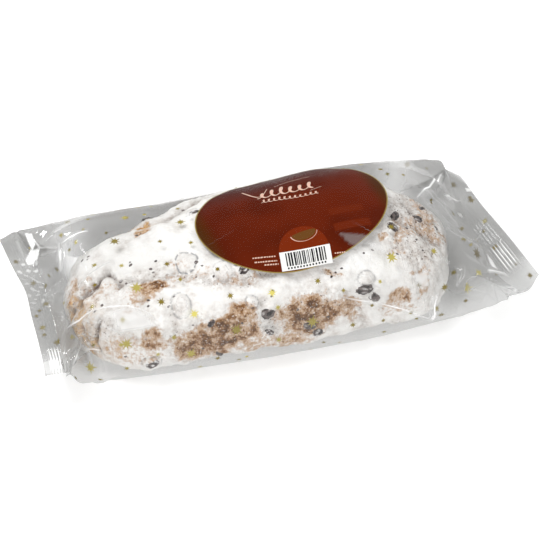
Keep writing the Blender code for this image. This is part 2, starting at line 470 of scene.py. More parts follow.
def end_rows(section, inner, inward, ear, pleats):
    """Loops from the loaf's shoulder out to the inner edge of the seal, with the folds."""
    loop = np.arange(len(section))
    across = loop / TOPS
    ahead = np.minimum(loop, len(section) - loop) / TOPS
    back_edge = np.exp(-((across - 1) / EDGE_REACH) ** 2)
    front_edge = np.exp(-(ahead / EDGE_REACH) ** 2)
    foot = np.exp(-((loop - len(section) + SIDES) / TOPS / EDGE_REACH) ** 2)
    back_tuck = np.maximum(0, 1 - abs(2 * (loop - TOPS) / SIDES - 1))
    front_tuck = np.maximum(0, 1 - abs(2 * (len(section) - loop) / SIDES - 1))
    rise, place, reach = ear
    out = []
    for k in np.linspace(0, 1, END_ROWS + 1)[1:-1]:
        row = section * (1 - k) + inner * k
        swell = np.exp(-((k - place) / reach) ** 2) * eased(k * 4) * eased((1 - k) * 8)
        row[:, 0] -= inward * (EAR_OUT if inward > 0 else RIGHT_EAR_OUT) * swell * back_edge
        row[:, 1] += EAR_SPREAD * swell * (back_edge - front_edge / 2)
        row[:, 2] += rise * swell * (back_edge + front_edge / 2)
        low = LOW_FOLD * np.sin(pi * k) ** 2 * foot
        row += low[:, None] * np.array([-inward * 0.8, -0.7, -0.2])
        row[:, 1] += TUCK_DEPTH * np.sin(pi * k ** 1.4) * (front_tuck - back_tuck)
        for at_shoulder, at_seal, height, half in pleats:
            off = abs(across - (at_shoulder + (at_seal - at_shoulder) * k)) / half
            ridge = height * np.maximum(0, 1 - off) * np.sin(pi * k ** 0.8) * (across <= 1)
            row[:, 2] += ridge
            row[:, 0] -= inward * ridge / 2
        out.append(row)
    return out


def bag_end(side, corners, rise, ear, pleats, crisp):
    """The loops beyond one shoulder, from the loaf outwards; side is -1 left, 1 right."""
    crimp = seal_rows(corners, -side, rise, crisp)
    section = body_section(side * SHOULDER)
    return end_rows(section, crimp[0], -side, ear, pleats) + crimp


def crisp_ribs(places):
    """How deep the ribs stand around a seal: each place is a y, a half length and a depth."""
    y = np.linspace(-1, 1, TOPS + 1) * 0.059
    depth = 0.14 + sum(d * np.exp(-((y - at * MM) / (half * MM)) ** 4) for at, half, d in places)
    top, bottom = depth[:-1], depth[:0:-1]
    return np.concatenate([top, np.full(SIDES, depth[-1]), bottom, np.full(SIDES, depth[0])])


LEFT_CRISP = crisp_ribs(((-48, 10, 0.9),))
RIGHT_CRISP = crisp_ribs(((-28, 13, 1.0),))


def bag_rows():
    """All loops of the bag, from the left seal's outer edge to the right one's."""
    left = bag_end(-1, LEFT_SEAL, LEFT_RISE, LEFT_EAR, LEFT_PLEATS, LEFT_CRISP)
    right = bag_end(1, RIGHT_SEAL, RIGHT_RISE, RIGHT_EAR, RIGHT_PLEATS, RIGHT_CRISP)
    middle = [body_section(x) for x in np.linspace(-SHOULDER, SHOULDER, BODY_ROWS + 1)]
    rows = np.array(left[::-1] + middle + right)
    first = len(left)
    last = first + BODY_ROWS
    reach = SHOULDER_REACH
    for _ in range(SHOULDER_ROUNDS):
        softer = (rows[:-2] + 2 * rows[1:-1] + rows[2:]) / 4
        for at in (first, last):
            rows[at - reach:at + reach + 1] = softer[at - reach - 1:at + reach]
    for from_left, reach, y, spread, push in PUSHES:
        row_share = np.exp(-((np.arange(len(rows)) - from_left % len(rows)) / reach) ** 2)[:, None]
        share = row_share * np.exp(-((rows[:, :, 1] / MM - y) / spread) ** 2)
        rows += share[:, :, None] * np.array(push) * MM
    rows[:, :, 2] = np.maximum(rows[:, :, 2], 0)
    return rows - np.array([MIDDLE, 0, 0]), first, last


def grid_normals(rows):
    ahead = np.gradient(rows, axis=0)
    around = np.roll(rows, -1, 1) - np.roll(rows, 1, 1)
    normal = np.cross(ahead, around)
    return normal / np.maximum(np.linalg.norm(normal, axis=2, keepdims=True), 1e-12)


# The printed oval: its middle (x, girth), half lengths and tilt on the film, mm.
OVAL_X, OVAL_GIRTH = 17.7, 2.8
OVAL_LONG, OVAL_SHORT = 61.7, 48.1
OVAL_TILT = radians(6.4)

# Folds of the film: the places (x, girth from the top's middle line, mm; the front is negative)
# that each runs through, its height and half width in mm, and how white its edge is painted: partly stress whitening,
# partly a painted highlight along the fold.
FOLDS = (
    (((-134, -34), (-126, -39), (-115, -43), (-108, -44), (-96, -46), (-88, -50), (-84, -54), (-82, -58)), 1.3, 5.0, 0.9),
    (((-127, -20), (-116, -17), (-100, -11)), 1.2, 5.0, 0.5),
    (((-126, 29), (-117, 24), (-108, 22)), 1.4, 5.0, 0.8),
    (((-142, 55), (-138, 38), (-128, 29)), 1.2, 4.0, 0.5),
    (((-127, 31), (-129, 12)), 0.8, 3.0, 0.15),
    (((-121, 25), (-126, 2)), 0.8, 3.0, 0.15),
    (((-135, -38), (-139, -48), (-140, -64)), 1.0, 4.0, 0.4),
    (((-140, -64), (-127, -56), (-122, -60)), 1.0, 4.0, 0.3),
    (((-124, -60), (-117, -69)), 0.8, 3.0, 0.7),
    (((137, 50), (133, 45), (116, 20), (97, -7)), 1.6, 6.0, 0.9),
    (((28, -67), (39, -72), (56, -78), (71, -84), (92, -97)), 1.3, 4.5, 0.9),
    (((93, -75), (91, -86), (91, -100)), 0.9, 3.0, 0.8),
    (((113, -55), (109, -74)), 0.5, 3.0, 0.4),
    (((106, -57), (109, -74)), 0.5, 3.0, 0.4),
    (((112, -70), (122, -66), (133, -60), (146, -59), (158, -59)), 0.8, 3.0, 0.7),
    (((125, -30), (138, -12), (150, 6), (157, 4)), 0.8, 4.0, 0.35),
    (((150, -42), (131, -52)), 1.0, 3.5, 0.5),
    (((150, 36), (139, 29), (127, 21)), 1.0, 5.0, 0.4),
)


# Painted highlights and reflections on facets of the film: convex outlines (x, girth) in mm, how white the painted
# highlight is, and the softness of their edges in mm.
SHEENS = (
    (((-146, 60), (-142, 59), (-141, 46), (-144, 43)), 0.8, 0.9),
    (((-145, 46), (-138, 37), (-141, 34), (-148, 36), (-149, 40)), 0.8, 0.9),
    (((-153, 56), (-151, 56), (-148, 40), (-150, 40)), 0.2, 2.0),
    (((-138, 35), (-129, 29), (-129, 27), (-139, 33)), 0.3, 1.5),
    (((-126, 31), (-109, 25), (-109, 22), (-118, 21)), 0.35, 2.0),
    (((-128, 31), (-126, 31), (-127, 12), (-130, 12)), 0.32, 2.2),
    (((-125, 27), (-122, 26), (-125, 9), (-128, 9)), 0.28, 2.2),
    (((-122, 22), (-119, 20), (-122, 6), (-124, 7)), 0.20, 2.2),
    (((-108, -47), (-96, -46), (-88, -51), (-82, -61), (-104, -60)), 0.52, 1.4),
    (((-116, -48), (-106, -45), (-103, -60), (-114, -57)), 0.28, 2.0),
    (((-124, -41), (-116, -44), (-112, -52), (-120, -52)), 0.16, 3.0),
    (((-132, -58), (-130, -57), (-127, -78), (-129, -80)), 0.28, 1.6),
    (((-126, -59), (-124, -59), (-121, -80), (-123, -82)), 0.32, 1.6),
    (((-152, -48), (-142, -47), (-141, -61), (-151, -61)), 0.5, 2.0),
    (((-120, -62), (-118, -62), (-115, -84), (-117, -84)), 0.22, 1.6),
    (((77, -63), (89, -60), (87, -71), (81, -70)), 0.6, 1.6),
    (((53, -37), (63, -41), (65, -47), (57, -44)), 0.55, 1.8),
    (((88, -78), (91, -77), (93, -97), (90, -98)), 0.45, 1.2),
    (((93, -76), (95, -77), (97, -95), (95, -97)), 0.25, 1.2),
    (((118, -82), (125, -68), (134, -68), (133, -92), (126, -94)), 0.30, 3.0),
    (((138, -31), (142, -33), (142, -42), (138, -42)), 0.75, 1.4),
    (((131, -50), (148, -43), (149, -46), (131, -54)), 0.45, 1.2),
    (((127, 22), (138, 31), (141, 29), (130, 20)), 0.35, 2.0),
    (((137, 17), (141, 20), (142, 17), (138, 15)), 0.5, 1.0),
    (((151, 41), (155, 41), (155, 37), (151, 37)), 0.7, 1.4),
    (((97, -5), (116, 22), (134, 48), (137, 47), (119, 18), (98, -9)), 0.25, 1.6),
    (((107, -58), (112, -56), (110, -73), (109, -72)), 0.14, 1.6),
    (((122, -88), (126, -90), (145, -91), (144, -88)), 0.35, 1.6),
    (((39, -28), (57, -34), (49, -41), (43, -37)), 0.30, 1.2),
)


# Where the film is crumpled: x, girth and radius in mm, and how sharply.
CRUMPLES = (
    (-150, 33, 9, 0.8), (-143, 52, 8, 0.5), (-140, -56, 12, 0.6), (-128, -72, 15, 0.5), (-118, -92, 12, 0.5),
    (130, -88, 16, 0.8), (114, -66, 10, 0.6), (151, 38, 9, 0.6), (96, -86, 10, 0.6), (145, 62, 9, 0.5),
)
CRUMPLE_FOLDS = 7
CRUMPLE_SLOPE = 0.13


def zigzag(t):
    """A wave of straight flanks and sharp crests, from -0.25 to 0.25, one crest a unit."""
    return abs((t % 1) - 0.5) - 0.25


def crumple_field(flat):
    """Relief of crumpled film: flat facets between straight folds that run in many directions."""
    rng = np.random.default_rng(5)
    facets = np.zeros(flat.shape[:-1])
    for i in range(CRUMPLE_FOLDS):
        way = pi * (i + rng.uniform(0.1, 0.9)) / CRUMPLE_FOLDS
        length = rng.uniform(0.013, 0.030)
        bend = ripple(flat, 0.07, 60 + i) * 0.18
        run = (flat[..., 0] * cos(way) + flat[..., 1] * sin(way)) / length
        facets += zigzag(run + bend + rng.uniform()) * length * rng.uniform(0.6, 1.2)
    mask = np.zeros(flat.shape[:-1])
    for x, s, radius, share in CRUMPLES:
        apart = np.hypot(flat[..., 0] / MM - x, flat[..., 1] / MM - s) / radius
        mask = np.maximum(mask, share * eased(1.5 - apart))
    return facets * CRUMPLE_SLOPE * 2, mask


def within(flat, corners, blur):
    """1 inside a convex outline, falling to 0 over the blur at its edge."""
    corners = np.array(corners, float) * MM
    following = np.roll(corners, -1, 0)
    area = (corners[:, 0] * following[:, 1] - corners[:, 1] * following[:, 0]).sum()
    depth = np.full(flat.shape[:-1], 9.0)
    for a, b in zip(corners, following):
        way = (b - a) / hypot(*(b - a)) * np.sign(area)
        depth = np.minimum(depth, (flat[..., 1] - a[1]) * way[0] - (flat[..., 0] - a[0]) * way[1])
    return eased(depth / blur + 0.5)


def fold_fields(flat):
    """Relief of the folds, the signed distance in mm to the nearest one, and its whiteness, partly stress whitening and
    partly painted highlight.
    """
    relief = np.zeros(flat.shape[:-1])
    side = np.full(flat.shape[:-1], 9.0)
    white = np.zeros(flat.shape[:-1])
    for n, (places, height, half, whiteness_and_glint) in enumerate(FOLDS):
        line = np.array(places, float) * MM
        run = run_along(line)
        best = np.full(flat.shape[:-1], 9.0)
        signed = best.copy()
        share = np.zeros(flat.shape[:-1])
        for i in range(len(line) - 1):
            step = line[i + 1] - line[i]
            length = hypot(*step)
            off = flat - line[i]
            t = np.clip((off @ step) / length ** 2, 0, 1)
            near = off - t[..., None] * step
            distance = np.linalg.norm(near, axis=-1)
            closer = distance < best
            best = np.where(closer, distance, best)
            turn = off[..., 0] * step[1] - off[..., 1] * step[0]
            signed = np.where(closer, distance * np.sign(turn), signed)
            share = np.where(closer, (run[i] + t * length) / run[-1], share)
        fade = np.sqrt(np.clip(4 * share * (1 - share), 0, 1))
        relief += height * MM * np.maximum(0, 1 - best / (half * MM)) * fade
        nearest = best < abs(side)
        side = np.where(nearest, signed, side)
        wear = 0.8 + 0.2 * np.sin(share * run[-1] / 0.004 + n * 1.7)
        white = np.where(nearest, whiteness_and_glint * fade * wear, white)
    return relief, np.clip(side / MM, -3, 3), white


rows, first_row, last_row = bag_rows()
COUNT, AROUND = rows.shape[:2]
LOOP = np.arange(AROUND)
TOP_MIDDLE = TOPS // 2
lengths = np.linalg.norm(np.roll(rows, -1, 1) - rows, axis=2)
girth = np.concatenate([np.zeros((COUNT, 1)), np.cumsum(lengths, 1)], 1)
from_top = girth[:, :-1] - girth[:, TOP_MIDDLE:TOP_MIDDLE + 1]
from_top = np.where(LOOP > TOP_MIDDLE + AROUND // 2, from_top - girth[:, -1:], from_top)
row_number = np.arange(COUNT)
row_x = rows[:, TOP_MIDDLE, 0]
flat = np.stack([rows[:, :, 0], from_top], 2)

past = np.maximum(first_row - row_number, row_number - last_row)
free = eased(np.maximum(past, 0) / (END_ROWS * 0.5))
rib_rows = 2 * RIBS * RIB_ROWS
crimped = np.minimum(row_number, COUNT - 1 - row_number) <= rib_rows
loose = (free * np.where(crimped, 0.0, 1.0))[:, None]
under = (LOOP > TOPS + SIDES) & (LOOP < 2 * TOPS + SIDES)
fold_relief, fold_side, fold_whitening_and_glint = fold_fields(flat)
facets, crumpled = crumple_field(flat)
sway = ripple(rows, 0.034, 3) * 0.0004
flatness = np.where(crimped, 0.15, 1.0)[:, None]
wrinkle = sway * (0.3 + 0.7 * loose) + (fold_relief + facets * (0.05 + 0.10 * loose + crumpled)) * flatness
wrinkle *= np.where(under, 0.25, 1.0)
rows = rows + grid_normals(rows) * wrinkle[:, :, None]
rows[:, :, 2] = np.maximum(rows[:, :, 2], 0.0001)
film_normals = grid_normals(rows)
from_edge = np.minimum(row_number, COUNT - 1 - row_number)[:, None]
rib_turn = (1 - from_edge / rib_rows) / RIB_BAND
crest = abs((rib_turn * RIBS + 0.5) % 1 - 0.5) * SEAL_WIDTH * RIB_BAND / RIBS / MM
crisp = np.where(row_number[:, None] < COUNT / 2, LEFT_CRISP, RIGHT_CRISP)
on_rib = (rib_turn > 0) & (rib_turn < 1) & (crisp > 0.3)
# White lines along the crests of the crisp seal ribs: painted highlights.
fold_side = np.where(on_rib, crest * 1.4, fold_side)
fold_whitening_and_glint = np.where(on_rib, 0.85 * crisp, fold_whitening_and_glint)
sheen = np.zeros(flat.shape[:-1])
# Each sheen is a painted highlight or reflection laid into the film's colour.
for corners, painted_glint, soft in SHEENS:
    sheen = np.maximum(sheen, painted_glint * within(flat, corners, soft * MM))
# Fine white specks on the crumpled left end, added to the sheen: painted glints.
speckled = within(flat, ((-156, 38), (-141, 32), (-139, -4), (-152, 0)), 0.008)
speckled = np.maximum(speckled, within(flat, ((-152, 44), (-140, 36), (-142, 24), (-158, 30)), 0.006) * 1.5)
specks = eased((ripple(flat, 0.0045, 91) - 0.1) / 0.9)
sheen = np.maximum(sheen, speckled * (0.06 + 0.34 * specks))


def film_faces():
    at = (np.arange(COUNT - 1)[:, None] * AROUND + LOOP).ravel()
    beside = (np.arange(COUNT - 1)[:, None] * AROUND + (LOOP + 1) % AROUND).ravel()
    return np.stack([at, at + AROUND, beside + AROUND, beside], 1)


FILM = polypropylene_film()
film = mesh_piece("bag_film", rows.reshape(-1, 3), film_faces(), FILM)
film_tree = tree_of(film)


# ======================================================================================
# The loaf
# ======================================================================================
LEFT_TIP = -0.1235 - MIDDLE
RIGHT_TIP = 0.1305 - MIDDLE
STATIONS = np.array([-0.110, -0.087, -0.060, -0.031, 0.003, 0.055, 0.088, 0.110]) - MIDDLE
FRONT = (0.0560, 0.0575, 0.0590, 0.0598, 0.0597, 0.0585, 0.0575, 0.0570)
BACK = (0.0520, 0.0550, 0.0575, 0.0600, 0.0635, 0.0620, 0.0530, 0.0470)
CROWN = (0.0310, 0.0310, 0.0350, 0.0400, 0.0420, 0.0460, 0.0400, 0.0330)
WAIST = 0.0265
LEFT_TAPER = 0.061        # from here out the end narrows to the tip
RIGHT_TAPER = 0.040
LEFT_BACK_TAPER = 0.115
RIGHT_BACK_TAPER = 0.080
END_SKEW = 0.12           # the right end is cut back at the front
PLAN_POWER = 2.3
RIGHT_POWER = 2.5
RIGHT_BACK_POWER = 1.9
SECTION_POWER = 2.3
FOOT_POWER = 3.0
FILM_GAP = 0.0007


def smooth_between(x, xs, values):
    """Values at x on a curve that runs smoothly through the stations."""
    fine = np.linspace(xs[0] - 0.03, xs[-1] + 0.03, 600)
    curve = np.interp(fine, xs, values)
    window = np.hanning(61)
    padded = np.pad(curve, 30, mode="edge")
    return np.interp(x, fine, np.convolve(padded, window / window.sum(), "valid"))


def narrowing(x, tip, taper, power):
    """1 along the loaf, falling to 0 at an end's tip like the quarter of an ellipse."""
    share = np.clip(1 - abs(tip - x) / taper, 0, 1)
    return (1 - share ** power) ** (1 / power)


def loaf_body():
    """A cube, subdivided and blown up to a ball, then drawn out to the loaf's plan and crown."""
    deselect()
    bpy.ops.mesh.primitive_cube_add(size=2)
    loaf = rename(bpy.context.object, "loaf")
    bpy.ops.object.mode_set(mode="EDIT")
    bpy.ops.mesh.select_all(action="SELECT")
    bpy.ops.mesh.subdivide(number_cuts=124)
    bpy.ops.object.mode_set(mode="OBJECT")
    apply_modifier(loaf, "CAST", cast_type="SPHERE", factor=1.0, radius=1.0)
    ball = points_of(loaf)
    ball /= np.linalg.norm(ball, axis=1)[:, None]
    rest = np.maximum(np.sqrt(np.maximum(0, 1 - ball[:, 0] ** 2)), 1e-9)
    middle = (LEFT_TIP + RIGHT_TIP) / 2
    x = middle + np.sign(ball[:, 0]) * (1 - (1 - abs(ball[:, 0])) ** 0.95) * (RIGHT_TIP - LEFT_TIP) / 2
    side = ball[:, 1] / rest
    rise = ball[:, 2] / rest
    power = np.where(rise > 0, SECTION_POWER, FOOT_POWER)
    reach = (abs(side) ** power + abs(rise) ** power) ** (-1 / power)
    right = narrowing(x, RIGHT_TIP, RIGHT_TAPER, RIGHT_POWER)
    left = narrowing(x, LEFT_TIP, LEFT_TAPER, PLAN_POWER)
    left_back = narrowing(x, LEFT_TIP, LEFT_BACK_TAPER, PLAN_POWER)
    right_back = narrowing(x, RIGHT_TIP, RIGHT_BACK_TAPER, RIGHT_BACK_POWER)
    front = smooth_between(x, STATIONS, FRONT) * left * right
    back = smooth_between(x, STATIONS, BACK) * left_back * right_back
    crown = smooth_between(x, STATIONS, CROWN) * left * (right + right_back) / 2
    y = reach * np.where(side < 0, front, back) * side
    z = WAIST + reach * np.where(rise > 0, crown, (WAIST - 0.001) * np.sqrt(left * right)) * rise
    x = x + END_SKEW * (y - 0.020) * eased((x - 0.060) / 0.050)
    move_points(loaf, np.stack([x, y, z], 1))
    return loaf


# Places on the loaf are given as x in mm and the turn in degrees from the crown to the front.
# Patches where the crust shows: half lengths in mm and degrees, and how bare they are.
PATCHES = (
    (-47, 86, 26, 14, 1.0),
    (-38, 76, 14, 7, 0.9),
    (-10, 97, 20, 8, 0.65),
    (13, 80, 19, 13, 1.0),
    (37, 84, 13, 9, 0.7),
    (-107, 84, 6, 8, 0.5),
    (-95, 87, 15, 12, 0.36),
    (-84, 80, 8, 6, 0.75),
    (-78, 46, 10, 4, 0.95),
    (-86, 50, 12, 6, 0.5),
    (-106, 33, 13, 6, 0.35),
    (-125, 95, 6, 32, 0.75),
    (-127, 45, 6, 18, 0.45),
    (84, 41, 8, 4, 0.55),
    (98, 24, 12, 8, 0.5),
    (108, 4, 6, 26, 0.50),
    (82, 30, 5, 10, 0.42),
    (88, 69, 5, 4, 0.75),
    (88, 81, 4, 4, 0.55),
    (77, 52, 9, 2, 0.5),
    (66, 37, 4, 4, 0.5),
    (69, 81, 9, 5, 0.8),
    (72, 90, 12, 7, 0.40),
    (32, 57, 5, 2, 0.7),
    (-60, 36, 15, 5, 0.35),
    (-30, 48, 16, 4, 0.35),
    (-72, -45, 5, 7, 0.9),
    (-20, -82, 24, 13, 0.9),
    (48, -90, 17, 12, 0.9),
    (-85, -75, 14, 12, 0.7),
    (95, -80, 12, 12, 0.7),
)
# Stretches where the sugar lies thin, so that grey dough shows through it: half lengths as above.
THIN = (
    (92, 35, 20, 26, 1.0), (104, 0, 12, 40, 1.0), (-122, 70, 14, 30, 0.9), (72, 33, 12, 10, 0.6), (92, 75, 14, 16, 0.6), (-86, 35, 16, 9, 0.7),
    (-112, 62, 18, 26, 0.55), (-80, 62, 12, 8, 0.5), (-20, 50, 26, 6, 0.5), (22, 60, 26, 5, 0.5), (-84, 88, 24, 12, 0.3),
)
# Creases between the dough's folds, as points in mm: half width and depth in mm, and how much painted
# shade darkens them. One of negative depth is the edge of a fold.
GROOVES = (
    (((-128, -10, 36), (-118, -8, 44), (-109, -4, 48), (-101, -1, 54)), 3.2, -2.6, 0.0),
    (((-128, -15, 31), (-126, -14, 34), (-118, -13, 41), (-112, -11, 45), (-106, -9, 50), (-102, -7, 52)), 2.6, 2.4, 1.0),
    (((-102, -8, 52), (-100, -15, 53), (-94, -18, 52)), 2.2, 1.4, 0.9),
    (((-97, -19, 53), (-73, -22, 57), (-55, -28, 58), (-42, -38, 61), (-27, -42, 59), (-8, -39, 58)), 4.5, 1.4, 0.2),
    (((-125, -18, 27), (-125, -16, 21), (-125, -17, 12)), 1.7, 1.8, 1.0),
    (((-121, -25, 31), (-121, -24, 24), (-121, -22, 16)), 1.7, 1.8, 1.0),
    (((-111, -33, 40), (-113, -34, 35), (-114, -35, 30), (-115, -35, 25), (-113, -38, 20)), 2.1, 2.2, 1.0),
    (((-118, -28, 24), (-116, -32, 18), (-110, -38, 12)), 1.8, 1.2, 0.7),
    (((-106, -41, 36), (-96, -47, 34), (-88, -54, 37)), 4.0, 1.2, 0.0),
    (((-16, -52, 49), (-13, -57, 36), (-8, -60, 22)), 3.0, 1.5, 0.2),
    (((84, 18, 58), (96, 16, 53), (104, 10, 50), (109, -2, 48)), 3.4, -1.6, 0.0),
    (((88, 12, 57), (95, 8, 55), (96, -3, 56), (98, -12, 54)), 2.8, 1.7, 0.8),
    (((80, -15, 66), (89, -18, 60), (98, -21, 50), (103, -22, 38)), 4.0, 1.4, 0.35),
    (((36, -54, 46), (44, -59, 30), (50, -58, 14)), 3.5, 1.4, 0.2),
    (((-68, -47, 52), (-72, -54, 38), (-66, -58, 22)), 3.2, 1.3, 0.15),
    (((-60, 30, 58), (-20, 45, 56), (30, 48, 58), (80, 40, 50)), 5.0, 1.6, 0.3),
)
# Raisins: the radius in mm, how far the raisin's own skin comes through the sugar, and how strongly a
# grey line of painted shade marks the dent round it.
RAISINS = (
    (-55, 26, 6.2, 0.0, 0.80),
    (-65, 61, 5.6, 0.0, 0.50),
    (-23, 66, 3.4, 0.0, 0.50),
    (-36, 43, 5.2, 0.0, 0.25),
    (-15, 75, 6.4, 1.0, 0.0),
    (48, 70, 5.6, 0.9, 0.0),
    (54, 76, 4.4, 0.7, 0.0),
    (12, 88, 4.6, 0.9, 0.0),
    (18, 94, 4.2, 0.8, 0.0),
    (-14, 86, 3.2, 0.6, 0.3),
    (-49, 74, 3.0, 1.0, 0.0),
    (-24, 45, 3.8, 0.6, 0.2),
    (82, 18, 4.4, 1.0, 0.0),
    (76, 32, 4.4, 0.8, 0.0),
    (98, 17, 4.8, 0.9, 0.0),
    (106, -9, 3.0, 0.8, 0.0),
    (111, 28, 2.6, 0.9, 0.0),
    (-45, 99, 2.8, 1.0, 0.0),
    (-87, 98, 5.0, 0.5, 0.4),
    (51, 64, 4.0, 0.0, 0.45),
    (-40, -30, 5.0, 0.3, 0.3),
    (10, -62, 5.2, 0.9, 0.0),
    (-66, -70, 5.0, 0.8, 0.0),
    (60, -60, 5.0, 0.7, 0.0),
    (-12, -95, 4.8, 1.0, 0.0),
    (86, -58, 4.6, 0.8, 0.0),
)
# Broken bits of raisin and candied peel, dark on the sugar: the radius in mm.
BITS = (
    (-96, 31, 1.6), (-93, 35, 1.3), (-110, 53, 1.3), (-115, 58, 1.4), (-88, 14, 1.5), (-88, 10, 0.9), (-77, 26, 1.3),
    (-73, 19, 1.2), (-76, 30, 1.0), (-115, -36, 1.4), (-111, -31, 1.3), (-112, -26, 1.0), (-83, 54, 1.3), (-84, 58, 1.1),
    (29, 59, 1.2), (32, 57, 1.0), (36, 55, 1.1), (-9, 61, 1.4), (-10, 64, 1.1), (-50, 30, 1.7), (-47, 35, 1.1),
    (106, -8, 1.3), (-79, -33, 1.6), (-45, -51, 1.4), (-49, -47, 1.2), (-58, 41, 1.0), (-52, 43, 0.9), (-42, 45, 1.0),
    (69, 52, 1.1), (74, 53, 1.0), (58, 47, 1.2), (52, 48, 1.0), (-68, 54, 1.1), (-72, 60, 1.2), (90, 45, 1.1), (96, 40, 1.2),
    (87, 32, 1.3), (93, 55, 1.0), (-60, 73, 0.9), (-30, 78, 1.2), (-55, 92, 1.3), (5, 76, 1.2), (24, 84, 1.3), (-102, 92, 1.2),
)

loaf = loaf_body()
loaf.data.materials.append(sugared_crust())
spots = points_of(loaf)
outward = normals_of(loaf)
turn = np.degrees(np.arctan2(-spots[:, 1], spots[:, 2] - WAIST))
reach_out = np.maximum(np.hypot(spots[:, 1], spots[:, 2] - WAIST), 0.01)


def off_place(x, angle, warp=0.0):
    """Offsets in mm along and around the loaf from a place on it."""
    around = np.radians((turn - angle + 180) % 360 - 180) * reach_out / MM
    return spots[:, 0] / MM - x + warp * wander[0], around + warp * wander[1]


wander = (ripple(spots, 0.009, 41) * 1.3 + ripple(spots, 0.024, 42) * 3.0,
          ripple(spots, 0.009, 43) * 1.3 + ripple(spots, 0.024, 44) * 3.0)
bare = np.zeros(len(spots))
halo = np.zeros(len(spots))
for x, angle, half, swing, share in PATCHES:
    dx, da = off_place(x, angle, 1.0)
    apart = np.hypot(dx / half, da / (radians(swing) * 60))
    bare = np.maximum(bare, share * eased((1.4 - apart) / 0.75))
    halo = np.maximum(halo, 0.9 * share * eased((1.75 - apart) / 0.8))
relief = 1.0 * ripple(spots, 0.050, 21) + 0.7 * ripple(spots, 0.022, 22) + 0.35 * ripple(spots, 0.009, 23)
relief -= 0.7 * bare
relief += bare * (0.5 * ripple(spots, 0.0050, 24) + 0.4 * ripple(spots, 0.0030, 25))
relief += (1 - bare) * 0.16 * ripple(spots, 0.004, 26)
thin = np.maximum(halo, 0.12 + 0.34 * ripple(spots, 0.020, 27))
for x, angle, half, swing, share in THIN:
    dx, da = off_place(x, angle, 1.0)
    thin = np.maximum(thin, share * eased((1.5 - np.hypot(dx / half, da / (radians(swing) * 60))) / 0.9))
ring = np.full(len(spots), 9.0)
dent_shade_share = np.zeros(len(spots))
groove_shade = np.zeros(len(spots))
plain_tree = tree_of(loaf)


def laid_on_loaf(places):
    """The places in mm, with others between them, each moved to the nearest spot on the loaf."""
    stops = np.linspace(0, len(places) - 1, 5 * (len(places) - 1) + 1)
    line = np.stack([np.interp(stops, range(len(places)), column) for column in zip(*places)], 1)
    return np.array([plain_tree.find_nearest(Vector(p * MM))[0] for p in line]) / MM


def off_line(points, places, warp):
    """Distance in mm from a line over the loaf through some places."""
    line = laid_on_loaf(places)
    at = points / MM + warp
    best = np.full(len(points), 99.0)
    for start, end in zip(line[:-1], line[1:]):
        step = end - start
        t = np.clip((at - start) @ step / (step @ step), 0, 1)
        best = np.minimum(best, np.linalg.norm(at - start - t[:, None] * step, axis=1))
    return best


wobble = np.stack([ripple(spots, 0.010, 51), ripple(spots, 0.010, 52), ripple(spots, 0.010, 53)], 1) * 1.2
for places, half, depth, dark in GROOVES:
    apart = off_line(spots, places, wobble) / half
    relief -= depth * np.exp(-apart ** 2) - 0.4 * depth * np.exp(-(apart - 2.0) ** 2)
    # Painted shade in each sunk crease: a dark line, and grey in the sugar (thin).
    groove_shade = np.maximum(groove_shade, dark * np.exp(-(apart / 0.6) ** 2))
    if depth > 0:
        thin = np.maximum(thin, 0.9 * np.exp(-(apart / 1.6) ** 2))
for x, angle, radius, skin, shown in RAISINS:
    dx, da = off_place(x, angle, 0.18)
    apart = np.hypot(dx, da) / radius
    relief += 1.7 * eased((1.2 - apart) / 0.6) * (1 - 0.6 * skin)
    relief -= 0.9 * np.exp(-((apart - 1.2) / 0.14) ** 2)
    thin = np.maximum(thin, 0.5 * eased(1.7 - apart))
    # Distance to the dent round the raisin, where a line of painted shade goes.
    away = np.clip((apart - 1.15) * radius, -3, 3)
    nearer = abs(away) < abs(ring)
    ring = np.where(nearer, away, ring)
    dent_shade_share = np.where(nearer, shown, dent_shade_share)
dx, da = off_place(-70, -45)
hole = np.exp(-(np.hypot(dx, da) / 2.0) ** 2)
relief -= 2.5 * hole
spots = spots + outward * relief[:, None] * MM
spots[:, 2] = np.maximum(spots[:, 2], 0.0009)


def kept_inside(points, tree, gap):
    """Draws points back so that they stay a gap inside the film."""
    out = points.copy()
    for i, point in enumerate(points):
        near, normal, _, distance = tree.find_nearest(Vector(point), 0.006)
        if near is None:
            continue
        depth = (near - Vector(point)).dot(normal)
        if depth < gap:
            out[i] = np.array(near - normal * gap)
    return out


spots = kept_inside(spots, film_tree, FILM_GAP)
move_points(loaf, spots)
loaf.data.shade_smooth()
toast = 0.4 * eased((-84 - spots[:, 0] / MM) / 20) * eased((turn - 70) / 15)
toast = np.maximum(toast, eased((-106 - spots[:, 0] / MM) / 14) * eased((turn - 20) / 30))
toast = np.maximum(toast, np.exp(-(np.hypot(*off_place(-72, -45)) / 7) ** 2))
paint(loaf, "bare", bare)
paint(loaf, "thin", thin)
paint(loaf, "toast", toast)
paint(loaf, "groove_shade", groove_shade)
paint(loaf, "ring", np.clip(ring, -3, 3))
paint(loaf, "rim", dent_shade_share)
loaf_tree = tree_of(loaf)


